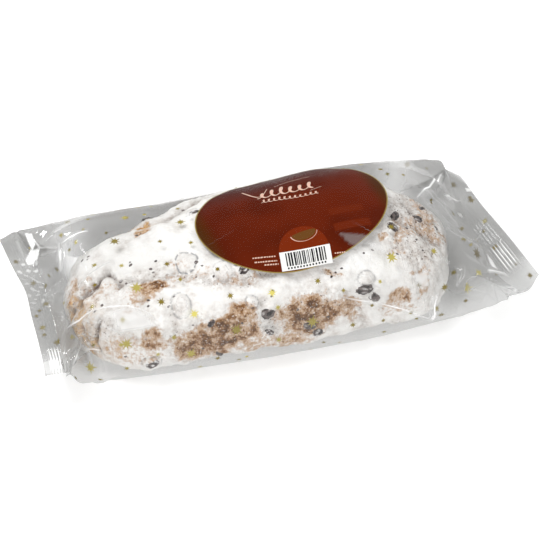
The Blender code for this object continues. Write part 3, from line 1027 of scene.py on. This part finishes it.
def raisin_heap():
    """Wrinkled raisins half sunk in the crust and the broken bits between them, in one piece."""
    balls = []
    for rounds in (4, 2):
        deselect()
        bpy.ops.mesh.primitive_ico_sphere_add(subdivisions=rounds, radius=1)
        seedling = bpy.context.object
        balls.append((points_of(seedling), np.array(faces_of(seedling))))
        bpy.data.objects.remove(seedling)
    places = [(*raisin[:4], 0) for raisin in RAISINS if raisin[3] > 0.25]
    places += [(x, angle, radius, 1.0, 1) for x, angle, radius in BITS]
    all_points, all_faces, crests = [], [], []
    for n, (x, angle, radius, skin, kind) in enumerate(places):
        a = radians(angle)
        way = Vector((0, -sin(a), cos(a)))
        near = loaf_tree.ray_cast(Vector((x * MM, 0, WAIST)) + way * 0.1, -way)
        if near[0] is None:
            continue
        rng = np.random.default_rng(70 + n)
        ball, faces = balls[kind]
        wave = ripple(ball * [1, 1, 0.5], 1.1, 80 + n, 7)
        crest = np.clip(abs(wave) / 0.5, 0, 1)
        body = ball * np.array([1.0, rng.uniform(0.55, 0.75), 0.50]) * radius * MM
        body = body * (0.86 + 0.14 * crest + 0.05 * ripple(ball, 0.5, 90 + n, 7))[:, None]
        spin = Matrix.Rotation(rng.uniform(-0.7, 0.7), 3, "Z")
        long_way = (Vector((1, 0, 0)) - near[1] * near[1].x).normalized()
        pose = Matrix((long_way, near[1].cross(long_way), near[1])).transposed() @ spin
        sunk = near[0] - near[1] * radius * MM * (0.40 - 0.22 * skin)
        body = body @ np.array(pose).T + np.array(sunk)
        all_faces.append(faces + sum(map(len, all_points)))
        all_points.append(body)
        powder = 0.4 * crest + 0.6 * np.clip(0.5 + 0.6 * ripple(ball, 0.75, 120 + n), 0, 1)
        crests.append(powder * (1.25 - 0.55 * skin) if kind == 0 else 0.14 + crest * rng.uniform(0.3, 0.7))
    heap = mesh_piece("raisins", np.concatenate(all_points), np.concatenate(all_faces), dried_raisin())
    paint(heap, "crest", np.concatenate(crests))
    return heap


raisins = raisin_heap()
raisins_inside = kept_inside(points_of(raisins), film_tree, FILM_GAP / 2)
move_points(raisins, raisins_inside)

# The film greys where it stands off the loaf, most on its far and under layers.
gap = np.array([loaf_tree.find_nearest(Vector(p), 0.05)[3] or 0.05 for p in rows.reshape(-1, 3)]).reshape(COUNT, AROUND)
above = np.array([loaf_tree.ray_cast(Vector(p), Vector((0, 0, -1)))[0] is not None for p in rows.reshape(-1, 3)])
above = above.reshape(COUNT, AROUND).astype(float)
for _ in range(3):
    above = (np.roll(above, 1, 1) + np.roll(above, -1, 1) + above + np.roll(above, 1, 0) + np.roll(above, -1, 0)) / 5
back = ((LOOP > TOPS * 0.97) & (LOOP < TOPS + SIDES)) * (1 - 0.85 * eased((past + 10) / 24))[:, None]
brim = eased((LOOP / TOPS - 0.82) / 0.10) * (LOOP <= TOPS * 0.97)
beneath = ((LOOP >= TOPS + SIDES) & (LOOP < 2 * TOPS + SIDES * 1.3)).astype(float)
off_loaf = np.maximum(eased((gap / MM - 0.6 - 1.4 * above) / (2.5 + 4.5 * above)) * (1 - 0.75 * above), beneath)
far_under = free[:, None] * eased((rows[:, :, 1] / MM + 55) / 25)
veil = 0.02 + 0.33 * off_loaf + (0.44 * back + 0.20 * brim) * off_loaf + (0.50 * far_under - 0.10) * beneath
front_wall = (LOOP >= 2 * TOPS + SIDES) | (LOOP < TOPS * 0.3)
veil *= 1 - 0.65 * front_wall * (1 - free[:, None]) * eased((rows[:, :, 2] / MM - 8) / 14)
across_oval = np.hypot((flat[..., 0] / MM - OVAL_X) / OVAL_LONG, (flat[..., 1] / MM - OVAL_GIRTH) / OVAL_SHORT)
veil *= 1 - 0.85 * eased((1.1 - across_oval) / 0.15)
back_tuck, front_tuck = (LOOP >= TOPS) & (LOOP < TOPS + SIDES), LOOP >= 2 * TOPS + SIDES
for tucked, share in ((back_tuck, 0.70), (front_tuck, 0.15)):
    veil = np.where(tucked & ~crimped[:, None], veil * (1 - loose) + share * loose, veil)
paint(film, "veil", veil)
paint(film, "sheen", sheen)
paint(film, "fold_side", fold_side)
paint(film, "fold_whitening_and_glint", fold_whitening_and_glint)


# ======================================================================================
# Print under the film
# ======================================================================================
# Stars in their places: x, girth and radius in mm, and how pale.
BIG_STARS = (
    (-90, -35, 4.6, 0.5), (-51, 14, 3.8, 0.2), (-94, 7, 4.2, 0.1), (68, -50, 4.4, 0.6), (129, -39, 5.4, 0.0),
    (143, 45, 3.8, 0.0), (142, 54, 2.6, 0.0), (124, -57, 3.4, 0.9), (83, -1, 4.0, 0.0), (-140, -33, 3.4, 0.1), (-156, 45, 4.0, 0.1), (-101, -68, 4.4, 0.5),
    (-64, -82, 4.2, 0.5), (-124, -84, 4.6, 0.6), (120, -80, 4.4, 0.9), (-36, -73, 4.4, 0.2), (11, -79, 4.6, 0.3),
    (98, -72, 3.4, 0.1), (57, 35, 4.0, 0.1), (-35, -52, 2.6, 0.1), (19, -55, 2.6, 0.1), (-68, -1, 2.2, 0.1),
    (-49, -8, 2.2, 0.2), (-95, -16, 2.3, 0.5), (-62, -34, 2.1, 0.2), (-10, -55, 3.2, 1.0), (95, -49, 2.8, 0.4),
    (121, -34, 3.0, 0.3), (151, 31, 2.4, 0.0), (159, -53, 2.4, 0.1), (-101, -53, 2.6, 0.6), (-104, -68, 2.2, 0.5),
    (-145, 47, 2.6, 0.4), (-147, 20, 2.8, 0.1), (-140, 15, 2.4, 0.1), (-142, 1, 3.0, 0.1), (-149, -7, 2.0, 0.1),
    (-147, -18, 3.0, 0.3), (-147, -24, 2.2, 0.1), (-132, -41, 2.4, 0.3), (-107, 36, 2.2, 0.4), (-84, 31, 3.4, 0.6),
    (-71, 31, 2.2, 0.5), (-132, 48, 2.2, 0.1), (-125, 33, 2.4, 0.6), (-73, -69, 2.3, 0.4), (-58, -57, 3.4, 1.0),
    (-9, -65, 2.2, 0.5), (77, 28, 2.0, 0.0), (85, 29, 2.4, 0.1), (98, 20, 2.0, 0.2), (129, -60, 4.2, 0.1),
)
STARS = 250
STAR_GAP = 15.0


def film_place(x, s):
    """Row and loop place on the body's film at length x and girth s, in mm."""
    x, s = np.broadcast_arrays(np.asarray(x, float) * MM, np.asarray(s, float) * MM)
    u = np.interp(x, row_x, row_number)
    v = np.empty(x.size)
    for n, (at, want) in enumerate(zip(u.ravel(), s.ravel())):
        i = min(int(at), COUNT - 2)
        line = from_top[i] * (1 - at + i) + from_top[i + 1] * (at - i)
        v[n] = np.interp(want, line[:TOPS + SIDES], LOOP[:TOPS + SIDES]) if want > line[0] else \
            np.interp(want, line[-SIDES - 20:], LOOP[-SIDES - 20:])
    return u, v.reshape(x.shape)


def under_film(u, v, depth):
    """Points at rows u and loop places v, a depth in metres inside the film."""
    u = np.clip(np.asarray(u, float), 0, COUNT - 1.001)
    v = np.asarray(v, float) % AROUND
    i, j = np.floor(u).astype(int), np.floor(v).astype(int)
    a, b = (u - i)[..., None], (v - j)[..., None]
    k = (j + 1) % AROUND
    place, normal = [
        (f[i, j] * (1 - b) + f[i, k] * b) * (1 - a) + (f[i + 1, j] * (1 - b) + f[i + 1, k] * b) * a
        for f in (rows, film_normals)]
    return place - normal * depth


def drape(piece, centre, tilt, depth):
    """Lays a flat piece, drawn in mm, on the inside of the film round a place on it."""
    drawn = points_of(piece)[:, :2]
    x = centre[0] + drawn[:, 0] * cos(tilt) - drawn[:, 1] * sin(tilt)
    s = centre[1] + drawn[:, 0] * sin(tilt) + drawn[:, 1] * cos(tilt)
    move_points(piece, under_film(*film_place(x, s), depth))
    piece.data.shade_smooth()


def flat_map(piece, scale):
    """Keeps the drawn plan as a map, before the piece is laid on the film."""
    drawn = points_of(piece)[:, :2] * scale
    layer = piece.data.uv_layers.new(name="flat")
    corners = np.empty(len(piece.data.loops), np.int32)
    piece.data.loops.foreach_get("vertex_index", corners)
    layer.data.foreach_set("uv", drawn[corners].astype(np.float32).ravel())


def round_print(name, rings, material):
    """A disc of radius 1, inset ring by ring."""
    deselect()
    bpy.ops.mesh.primitive_circle_add(vertices=180, radius=1, fill_type="NGON")
    disc = rename(bpy.context.object, name)
    bpy.ops.object.mode_set(mode="EDIT")
    bpy.ops.mesh.select_all(action="SELECT")
    for _ in range(rings):
        bpy.ops.mesh.inset(thickness=0.97 / rings)
    bpy.ops.mesh.poke()
    bpy.ops.object.mode_set(mode="OBJECT")
    disc.data.materials.append(material)
    return disc


OVAL_CENTRE = (OVAL_X, OVAL_GIRTH)
oval = round_print("oval_print", 34, oval_ink())
flat_map(oval, (1.0, 1.0))
move_points(oval, points_of(oval) * [OVAL_LONG, OVAL_SHORT, 1])
drape(oval, OVAL_CENTRE, OVAL_TILT, 0.00030)


def grid_print(name, along_mm, across_mm, material):
    """A flat sheet of a size in mm, cut into squares small enough to follow the film."""
    deselect()
    steps = [max(1, int(length / 1.2)) for length in (along_mm, across_mm)]
    bpy.ops.mesh.primitive_grid_add(x_subdivisions=steps[0], y_subdivisions=steps[1], size=1)
    sheet = rename(bpy.context.object, name)
    move_points(sheet, points_of(sheet) * [along_mm, across_mm, 1])
    sheet.data.materials.append(material)
    return sheet


def joined(name, pieces):
    deselect()
    for piece in pieces:
        piece.select_set(True)
    bpy.context.view_layer.objects.active = pieces[0]
    bpy.ops.object.join()
    return rename(pieces[0], name)


def bars_print(name, bars, material):
    """Rectangles (left, right, lower, upper) in mm, as one piece of print."""
    pieces = []
    for left, right, lower, upper in bars:
        bar = grid_print(name, right - left, upper - lower, material)
        move_points(bar, points_of(bar) + [(left + right) / 2, (lower + upper) / 2, 0])
        pieces.append(bar)
    return joined(name, pieces)


def stroke_print(name, line, width, material):
    """A pen stroke along a line of places in mm, fuller on its way down."""
    line = np.asarray(line, float)
    way = np.gradient(line, axis=0)
    way /= np.maximum(np.linalg.norm(way, axis=1), 1e-9)[:, None]
    half = width / 2 * (0.55 + 0.75 * np.clip(-way[:, 1], 0, 1))
    side = np.stack([-way[:, 1], way[:, 0]], 1) * half[:, None]
    flat_points = np.concatenate([line - side, line + side])
    n = len(line)
    faces = [(i, i + 1, n + i + 1, n + i) for i in range(n - 1)]
    return mesh_piece(name, np.c_[flat_points, np.zeros(2 * n)], faces, material)


rim_turn = np.linspace(0, 2 * pi, 241)[:-1]
rim_rings = np.array([0.0, 0.35, 0.7])
rim_points = np.array([[(OVAL_LONG + w) * cos(t), (OVAL_SHORT + w) * sin(t), 0] for w in rim_rings for t in rim_turn])
n = len(rim_turn)
rim_faces = [(r * n + c, (r + 1) * n + c, (r + 1) * n + (c + 1) % n, r * n + (c + 1) % n)
             for r in range(2) for c in range(n)]
rim = mesh_piece("oval_rim", rim_points, rim_faces, printed_ink("rim_gold_ink", "#96834a"))
drape(rim, OVAL_CENTRE, OVAL_TILT, 0.00024)

# The lighter half-disc behind the code panel, its lower half pressed flat under the panel.
glow = round_print("half_disc", 12, printed_ink("brick_ink", "#74290f"))
disc = points_of(glow) * [15.5, 18.5, 1]
disc[:, 1] *= np.where(disc[:, 1] < 0, 0.3, 1.0)
move_points(glow, disc)
drape(glow, (15.5, -34.0), radians(-5), 0.00026)

# A plain bronze bowl shape on it, with a fine line below.
bowl = round_print("bronze_bowl", 6, printed_ink("bronze_ink", "#66421f"))
bowl_points = points_of(bowl) * [7.6, 5.2, 1]
bowl_points[:, 1] *= np.where(bowl_points[:, 1] > 0, 0.25, 1.0)
move_points(bowl, bowl_points)
BOWL = (18.5, -21.0)
drape(bowl, BOWL, radians(3), 0.00022)

PANEL = (15.3, -38.8)
PANEL_TILT = radians(-5.4)
panel = grid_print("code_panel", 31.5, 12.8, printed_ink("panel_white_ink", "#ecebe9"))
drape(panel, PANEL, PANEL_TILT, 0.00022)
bar_rng = np.random.default_rng(4)
code_bars = []
at = -12.3
while at < 12.0:
    thick = bar_rng.choice([0.35, 0.55, 0.8, 1.1])
    code_bars.append((at, at + thick, -3.6, 5.4))
    at += thick + bar_rng.choice([0.35, 0.5, 0.8])
code_bars += [(x, x + 1.0, -5.5, -4.3) for x in np.arange(-12, 12, 1.9)]
bars = bars_print("code_bars", code_bars, printed_ink("code_black_ink", "#242428"))
drape(bars, PANEL, PANEL_TILT, 0.00016)

# Small print as plain dashes, and pen flourishes where the name would stand.
CREAM = printed_ink("cream_ink", "#dcb9a6")
dashes = []
for left, right, row in ((-16.5, -2.5, -31.0), (-16.0, -2.3, -34.2), (-10.5, -2.0, -37.2), (33.0, 39.5, -41.0)):
    at = left
    while at < right:
        long = bar_rng.uniform(0.7, 1.6)
        low = row - 0.28 * (at - left) / 2.2
        dashes.append((at, min(at + long, right), low - 0.45, low + 0.45))
        at += long + 0.45
small_print = bars_print("small_print", dashes, CREAM)
drape(small_print, (0, 0), 0.0, 0.00022)


def flourish(start, end, loops, height, lean, seed):
    """A run of pen loops between two places in mm, their heights uneven."""
    rng = np.random.default_rng(seed)
    t = np.linspace(0, loops, loops * 26)
    tall = np.interp(t, np.arange(loops + 1), rng.uniform(0.55, 1.15, loops + 1)) * height / 2
    up = tall * (1 - np.cos(2 * pi * t))
    out = t / loops + 0.9 / loops * np.sin(2 * pi * t) / (2 * pi) * 2.2
    start, end = np.array(start, float), np.array(end, float)
    line = start + (end - start) * out[:, None]
    return line + np.stack([lean * up, up], 1)


strokes = [
    stroke_print("pen_stroke", flourish((0, 21), (36, 17), 6, 9.0, 0.35, 3), 1.3, CREAM),
    stroke_print("pen_stroke", flourish((1, 15), (37, 9), 11, 3.4, 0.35, 8), 0.7, CREAM),
    stroke_print("pen_stroke", np.stack([np.linspace(-7, 9, 60), 31 - 8 * np.sin(np.linspace(-0.3, pi, 60))], 1), 0.9, CREAM),
    stroke_print("pen_stroke", np.stack([np.linspace(14, 38, 60), np.linspace(31, 33, 60)
                                         + 1.5 * np.sin(np.linspace(0, pi, 60))], 1), 0.5, CREAM),
    stroke_print("pen_stroke", np.stack([np.linspace(33, 41, 30), np.linspace(14.5, 15.5, 30)], 1), 0.5, CREAM),
]
bowl_turn = np.linspace(-0.97 * pi, -0.03 * pi, 50)
strokes.append(stroke_print("pen_stroke", np.stack([BOWL[0] + 8.4 * np.cos(bowl_turn), BOWL[1] + 6.2 * np.sin(bowl_turn)], 1),
                            0.5, CREAM))
swash = joined("pen_flourish", strokes)
drape(swash, (0, 0), 0.0, 0.00022)

# Faint overprinted bands at the right of the oval.
band_places = ((38.0, 60.0, -11.6, -5.8), (37.5, 61.0, -24.4, -18.6))
bands = bars_print("overprint_bands", band_places, printed_ink("band_ink", "#66240f"))
move_points(bands, points_of(bands) + [0, -2.0, 0])
drape(bands, (0, 0), 0.0, 0.00026)


def star_shape():
    """An eight-pointed star of radius 1, as points and triangles."""
    deselect()
    bpy.ops.mesh.primitive_circle_add(vertices=16, radius=1, fill_type="TRIFAN")
    star = bpy.context.object
    points = points_of(star)
    far = np.hypot(points[:, 0], points[:, 1]) > 0.5
    number = np.cumsum(far) - 1
    points[far & (number % 2 == 1)] *= 0.37
    points[far & (number % 4 == 2)] *= 0.82
    move_points(star, points)
    bpy.ops.object.mode_set(mode="EDIT")
    bpy.ops.mesh.select_all(action="SELECT")
    bpy.ops.mesh.subdivide(number_cuts=1)
    bpy.ops.object.mode_set(mode="OBJECT")
    points, faces = points_of(star), faces_of(star)
    bpy.data.objects.remove(star)
    return points, faces


def star_places():
    """The stars in their places, then others scattered a gap apart, clear of the oval."""
    rng = np.random.default_rng(12)
    found = [tuple(map(float, star)) for star in BIG_STARS]
    for _ in range(9000):
        if len(found) >= STARS:
            break
        x = rng.uniform(-162, 162)
        s = rng.uniform(-168, 168)
        size = 1.9 + 1.3 * rng.uniform() ** 2
        if all(hypot(x - a, s - b) > STAR_GAP + c - 3 for a, b, c, _ in found):
            found.append((x, s, size, 0.6 * rng.uniform() ** 2))
    cos_t, sin_t = cos(OVAL_TILT), sin(OVAL_TILT)
    clear = []
    for x, s, size, pale in found:
        dx, ds = x - OVAL_X, s - OVAL_GIRTH
        a, b = dx * cos_t + ds * sin_t, ds * cos_t - dx * sin_t
        if hypot(a / (OVAL_LONG + 5), b / (OVAL_SHORT + 5)) > 1:
            clear.append((x, s, size, pale))
    return clear


def star_print():
    """Gold stars all over the film, each laid flat on it and a hair inside."""
    shape, faces = star_shape()
    faces = np.array(faces)
    flat_mm = flat.reshape(-1, 2) / MM
    grid_points, grid_normals_flat = rows.reshape(-1, 3), film_normals.reshape(-1, 3)
    rng = np.random.default_rng(13)
    all_points, all_faces, paleness = [], [], []
    for x, s, size, pale in star_places():
        apart = np.hypot(flat_mm[:, 0] - x, flat_mm[:, 1] - s)
        at = int(np.argmin(apart))
        if apart[at] > 3:
            continue
        centre, normal = Vector(grid_points[at]), Vector(grid_normals_flat[apart < 7].mean(0)).normalized()
        pose = np.array(normal.to_track_quat("Z", "X").to_matrix() @ Matrix.Rotation(rng.uniform(0, pi), 3, "Z"))
        laid = shape * size * MM @ pose.T + np.array(centre)
        out = []
        for point in laid:
            hit = film_tree.ray_cast(Vector(point) + normal * 0.004, -normal, 0.008)
            if hit[0] is None:
                break
            out.append(np.array(hit[0] - hit[1] * 0.00018))
        if len(out) == len(laid):
            all_faces.append(faces + sum(map(len, all_points)))
            all_points.append(np.array(out))
            paleness.append(np.full(len(out), pale))
    print_out = mesh_piece("star_print", np.concatenate(all_points), np.concatenate(all_faces), star_gold())
    paint(print_out, "pale", np.concatenate(paleness))
    return print_out


stars = star_print()


# ======================================================================================
# Camera, floor and light
# ======================================================================================
CAMERA_TURN = radians(-14.5)
CAMERA_DROP = radians(42)
CAMERA_AWAY = 0.90
LOOK_AT = Vector((-MIDDLE, 0, 0.030))
AIM_RIGHT = 0.0090
AIM_DOWN = 0.0019
LENS = 1400 / 540 * 36


def place_camera():
    right = Vector((cos(CAMERA_TURN), sin(CAMERA_TURN), 0))
    ahead = Vector((-sin(CAMERA_TURN) * cos(CAMERA_DROP), cos(CAMERA_TURN) * cos(CAMERA_DROP), -sin(CAMERA_DROP)))
    up = right.cross(ahead)
    spot = LOOK_AT - ahead * CAMERA_AWAY
    aim = LOOK_AT + right * AIM_RIGHT - up * AIM_DOWN
    data = bpy.data.cameras.new("camera")
    data.sensor_width = 36
    data.lens = LENS
    data.clip_start = 0.01
    camera = bpy.data.objects.new("camera", data)
    bpy.context.scene.collection.objects.link(camera)
    camera.matrix_world = Matrix.Translation(spot) @ (aim - spot).to_track_quat("-Z", "Y").to_matrix().to_4x4()
    bpy.context.scene.camera = camera


def soft_box(name, way, away, size, power, shows=False):
    """A soft box in a direction from the loaf; one that shows only mirrors in the film."""
    data = bpy.data.lights.new(name, "AREA")
    data.shape = "RECTANGLE"
    data.size, data.size_y = size
    data.energy = power
    lamp = bpy.data.objects.new(name, data)
    bpy.context.scene.collection.objects.link(lamp)
    aim = Vector((0, 0, 0.03))
    place = aim + Vector(way).normalized() * away
    lamp.matrix_world = Matrix.Translation(place) @ (aim - place).to_track_quat("-Z", "Y").to_matrix().to_4x4()
    lamp.visible_glossy = shows
    lamp.visible_diffuse = not shows


def pale_floor():
    """A white light table, so that the shadows stay faint."""
    deselect()
    bpy.ops.mesh.primitive_plane_add(size=6, location=(0, 0, 0))
    floor = rename(bpy.context.object, "floor")
    material = new_material("floor_card")
    tree = material.node_tree
    shader = add(tree, "ShaderNodeBsdfPrincipled",
                 {"Base Color": ink("#f4f4f4"), "Roughness": 0.9, "Specular IOR Level": 0.1,
                  "Emission Color": ink("#ffffff"), "Emission Strength": 0.30}).outputs[0]
    add(tree, "ShaderNodeOutputMaterial", {"Surface": shader})
    floor.data.materials.append(material)


def studio():
    world = bpy.data.worlds.new("studio")
    world.use_nodes = True
    background = world.node_tree.nodes["Background"]
    background.inputs["Color"].default_value = ink("#fbfbfa")
    background.inputs["Strength"].default_value = 0.62
    bpy.context.scene.world = world
    soft_box("key", (-0.40, 0.10, 1.0), 1.2, (0.5, 0.5), 8.0)
    soft_box("front_fill", (-0.2, -1.0, 0.45), 1.3, (0.9, 0.4), 5)
    soft_box("back_fill", (0.5, 0.9, 0.9), 1.3, (0.6, 0.4), 2)
    soft_box("mirror_left", (-0.75, 0.60, 0.35), 1.0, (0.30, 0.10), 2.2, True)
    soft_box("mirror_right", (0.72, -0.33, 0.62), 1.0, (0.20, 0.20), 1.2, True)
    bpy.context.scene.view_settings.view_transform = "Standard"


place_camera()
pale_floor()
studio()

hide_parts("stollen_bag")
SLOTS = ((film, "clear_film"), (loaf, "sugar_coat"), (raisins, "raisin"), (stars, "gold_print"),
         (oval, "red_print"), (rim, "gold_print"), (glow, "red_print"), (bands, "red_print"), (bowl, "gold_print"), (panel, "pale_print"),
         (small_print, "pale_print"), (swash, "pale_print"))
for piece, slot in SLOTS:
    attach(piece, "root")
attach(bars, "root")      # black code bars: no slot of the record is black
